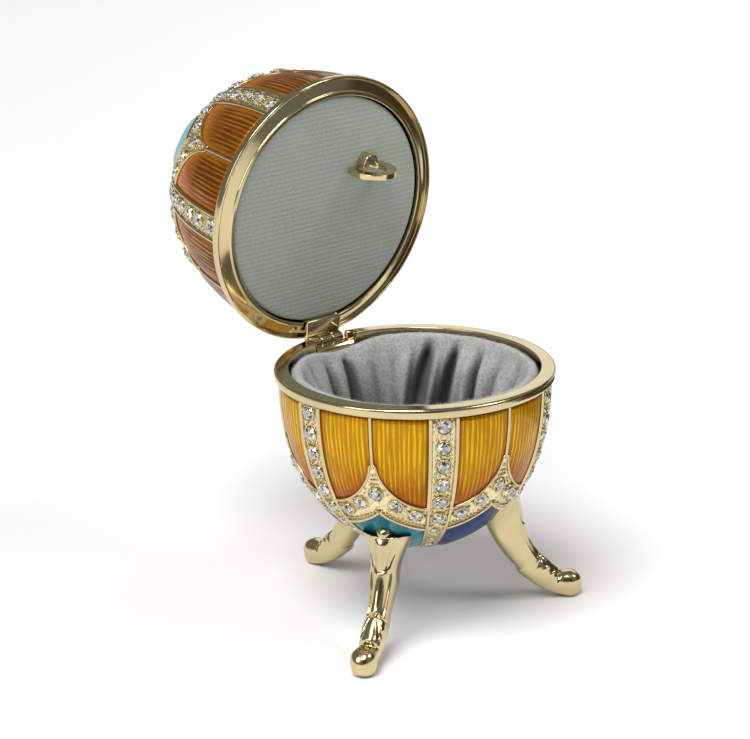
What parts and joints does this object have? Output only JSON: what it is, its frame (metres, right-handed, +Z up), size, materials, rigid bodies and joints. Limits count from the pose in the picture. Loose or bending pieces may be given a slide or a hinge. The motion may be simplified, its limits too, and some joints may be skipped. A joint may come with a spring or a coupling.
{
  "type": "jewelled egg trinket box",
  "caption": "Enamelled egg-shaped trinket box with stone-set bands, a hinged lid standing open, a plush lining and three curved cast legs.",
  "frame": {"origin": "on the ground under the middle of the open box's bounding box", "axes": "+Z up, +Y from the cup towards the hinge and the open lid, X along the hinge pin"},
  "size_m": [0.0662, 0.096, 0.1149],
  "materials": {
    "gold_metal": "polished pale gold plating",
    "amber_enamel": "glossy translucent amber enamel over engraved lines",
    "teal_enamel": "glossy mottled enamel",
    "cobalt_enamel": "glossy mottled enamel",
    "crystal": "faceted, foil backed",
    "grey_plush": "short pile plush",
    "grey_twill": "matt ribbed weave"
  },
  "bodies": {
    "cup": {"base_shell": "amber_enamel", "base_rim": "gold_metal", "base_lining": "grey_plush", "base_hinge_leaf": "gold_metal", "hinge_pin": "gold_metal", "leg_back": "gold_metal", "leg_left": "gold_metal", "leg_right": "gold_metal"},
    "lid": {"lid_shell": "amber_enamel", "lid_rim": "gold_metal", "lid_hinge_leaf": "gold_metal", "lid_lining": "grey_twill", "hanging_eye": "gold_metal"}
  },
  "joints": [
    {"name": "lid_hinge", "type": "hinge", "parent": "cup", "child": "lid", "pos_m": [0, 0.01219, 0.0549], "axis": [1, 0, 0], "range_deg": [0, 82]}
  ]
}
